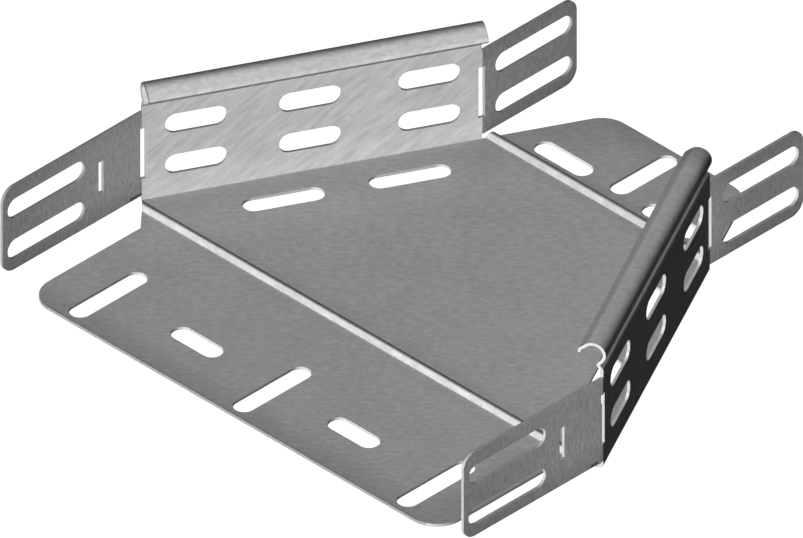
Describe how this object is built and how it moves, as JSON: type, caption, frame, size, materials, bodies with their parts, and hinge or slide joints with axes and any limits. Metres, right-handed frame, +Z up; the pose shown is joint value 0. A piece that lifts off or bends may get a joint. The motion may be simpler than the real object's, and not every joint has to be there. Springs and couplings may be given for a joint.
{
  "type": "cable tray reducer",
  "caption": "Folded sheet reducer that joins a wide cable tray to a narrow one: flat slotted floor, tapering walls with rolled rims, and lapping tabs and tongues.",
  "frame": {"origin": "centre of the bounding box in X and Y, on the underside of the floor", "axes": "+X across the trays, +Y along them from the wide mouth to the narrow one, +Z up out of the floor"},
  "size_m": [0.203, 0.1996, 0.0463],
  "materials": {
    "galvanised_sheet": "bright galvanised zinc coat, satin, finely mottled with faint rolling streaks"
  },
  "bodies": {
    "root": {"reducer_sheet": "galvanised_sheet"}
  },
  "joints": []
}
